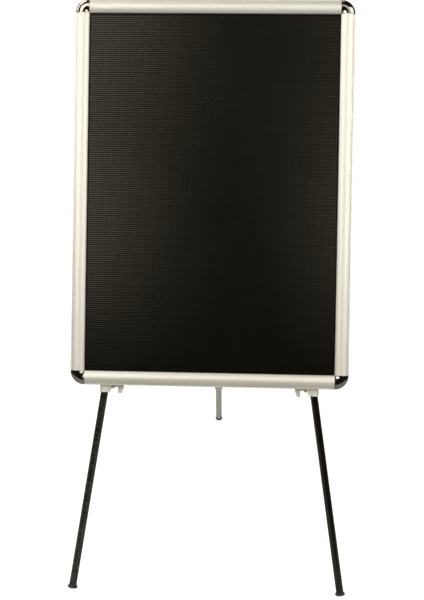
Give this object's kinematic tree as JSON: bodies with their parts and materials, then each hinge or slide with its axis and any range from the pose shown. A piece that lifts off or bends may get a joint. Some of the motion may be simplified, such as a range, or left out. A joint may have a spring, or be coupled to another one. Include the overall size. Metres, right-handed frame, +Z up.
{
  "type": "poster display easel",
  "caption": "Portrait snap-open poster frame with rounded bright corner caps, leaning back on a folding tripod of telescopic tubes with cam-lever collars.",
  "frame": {"origin": "on the floor, midway between the front feet and the rear foot and midway between left and right", "axes": "+Z up, +X to the viewer's right, -Y the way the display side faces"},
  "size_m": [0.6474, 0.9862, 1.3246],
  "materials": {
    "satin_aluminium": "satin anodised extrusion",
    "cap_chrome": "polished chrome plating on moulded caps",
    "black_mesh_sheet": "fine embossed grid, low sheen",
    "back_board": "smooth rigid board, matt",
    "zinc_steel": "bright zinc plating",
    "spring_steel": "tempered strip",
    "bracket_steel": "dark grey powder coat",
    "grey_plastic": "moulded, fine satin texture",
    "lever_plastic": "moulded, fine satin texture",
    "shoe_plastic": "moulded acetal",
    "tube_black": "glossy black enamel on steel tube",
    "tube_chrome": "satin plated steel tube",
    "nylon": "natural nylon",
    "black_plastic": "moulded plug",
    "foot_rubber": "moulded rubber"
  },
  "bodies": {
    "board": {"back_panel": "back_board", "insert_panel": "black_mesh_sheet", "base_rail_top": "satin_aluminium", "base_rail_bottom": "satin_aluminium", "base_rail_left": "satin_aluminium", "base_rail_right": "satin_aluminium", "corner_cap_top_left": "cap_chrome", "corner_cap_top_right": "cap_chrome", "corner_cap_bottom_left": "cap_chrome", "corner_cap_bottom_right": "cap_chrome", "corner_keys": "zinc_steel", "corner_screws": "zinc_steel", "snap_springs": "spring_steel", "top_crossbar": "bracket_steel", "hinge_bracket": "bracket_steel", "bracket_screws": "zinc_steel", "tube_socket_left": "grey_plastic", "tube_socket_right": "grey_plastic", "saddle_clip_left": "grey_plastic", "saddle_clip_right": "grey_plastic", "outer_tube_left": "tube_black", "outer_tube_right": "tube_black", "tube_plugs": "black_plastic", "collar_left": "grey_plastic", "collar_right": "grey_plastic", "clamp_shoes_front": "shoe_plastic", "lever_pins_front": "zinc_steel", "rear_hinge_bolt": "zinc_steel", "rear_hinge_nut": "zinc_steel", "rear_hinge_washers": "zinc_steel"},
    "snap_top": {"snap_rail_top": "satin_aluminium"},
    "snap_bottom": {"snap_rail_bottom": "satin_aluminium"},
    "snap_left": {"snap_rail_left": "satin_aluminium"},
    "snap_right": {"snap_rail_right": "satin_aluminium"},
    "lever_left": {"lever_left": "lever_plastic"},
    "lever_right": {"lever_right": "lever_plastic"},
    "leg_left": {"inner_tube_left": "tube_black", "glide_bush_left": "nylon", "foot_left": "foot_rubber"},
    "leg_right": {"inner_tube_right": "tube_black", "glide_bush_right": "nylon", "foot_right": "foot_rubber"},
    "rear_upper": {"rear_hinge_head": "grey_plastic", "rear_upper_tube": "tube_chrome", "rear_upper_collar": "grey_plastic", "rear_upper_shoe": "shoe_plastic", "rear_upper_lever_pin": "zinc_steel"},
    "rear_mid": {"rear_mid_tube": "tube_chrome", "rear_mid_bush": "nylon", "rear_lower_collar": "grey_plastic", "rear_lower_shoe": "shoe_plastic", "rear_lower_lever_pin": "zinc_steel"},
    "rear_lower": {"rear_lower_tube": "tube_chrome", "rear_lower_bush": "nylon", "rear_foot": "foot_rubber"},
    "rear_upper_lever": {"rear_upper_lever": "lever_plastic"},
    "rear_lower_lever": {"rear_lower_lever": "lever_plastic"}
  },
  "joints": [
    {"name": "snap_top_open", "type": "hinge", "parent": "board", "child": "snap_top", "pos_m": [0, -0.13101, 1.3198], "axis": [-1, 0, 0], "range_deg": [0, 85]},
    {"name": "snap_bottom_open", "type": "hinge", "parent": "board", "child": "snap_bottom", "pos_m": [0, -0.37313, 0.47543], "axis": [1, 0, 0], "range_deg": [0, 85]},
    {"name": "snap_left_open", "type": "hinge", "parent": "board", "child": "snap_left", "pos_m": [-0.3152, -0.25207, 0.89761], "axis": [0, -0.2756, -0.9613], "range_deg": [0, 85]},
    {"name": "snap_right_open", "type": "hinge", "parent": "board", "child": "snap_right", "pos_m": [0.3152, -0.25207, 0.89761], "axis": [0, 0.2756, 0.9613], "range_deg": [0, 85]},
    {"name": "lever_left_release", "type": "hinge", "parent": "board", "child": "lever_left", "pos_m": [-0.2235, -0.35175, 0.45858], "axis": [0, -0.9613, 0.2756], "range_deg": [0, 75]},
    {"name": "leg_left_slide", "type": "slide", "parent": "board", "child": "leg_left", "axis": [0.1478, 0.2726, 0.9507], "range_m": [0, 0.43]},
    {"name": "lever_right_release", "type": "hinge", "parent": "board", "child": "lever_right", "pos_m": [0.2235, -0.35175, 0.45858], "axis": [0, 0.9613, -0.2756], "range_deg": [0, 75]},
    {"name": "leg_right_slide", "type": "slide", "parent": "board", "child": "leg_right", "axis": [-0.1478, 0.2726, 0.9507], "range_m": [0, 0.43]},
    {"name": "rear_leg_fold", "type": "hinge", "parent": "board", "child": "rear_upper", "pos_m": [0, -0.09766, 1.29026], "axis": [-1, 0, 0], "range_deg": [0, 40]},
    {"name": "rear_mid_slide", "type": "slide", "parent": "rear_upper", "child": "rear_mid", "axis": [0, -0.4115, 0.9114], "range_m": [0, 0.5]},
    {"name": "rear_lower_slide", "type": "slide", "parent": "rear_mid", "child": "rear_lower", "axis": [0, -0.4115, 0.9114], "range_m": [0, 0.11]},
    {"name": "rear_upper_lever_release", "type": "hinge", "parent": "rear_upper", "child": "rear_upper_lever", "pos_m": [0, 0.20266, 0.67372], "axis": [1, 0, 0], "range_deg": [0, 75]},
    {"name": "rear_lower_lever_release", "type": "hinge", "parent": "rear_mid", "child": "rear_lower_lever", "pos_m": [0, 0.43424, 0.15718], "axis": [1, 0, 0], "range_deg": [0, 75]}
  ]
}
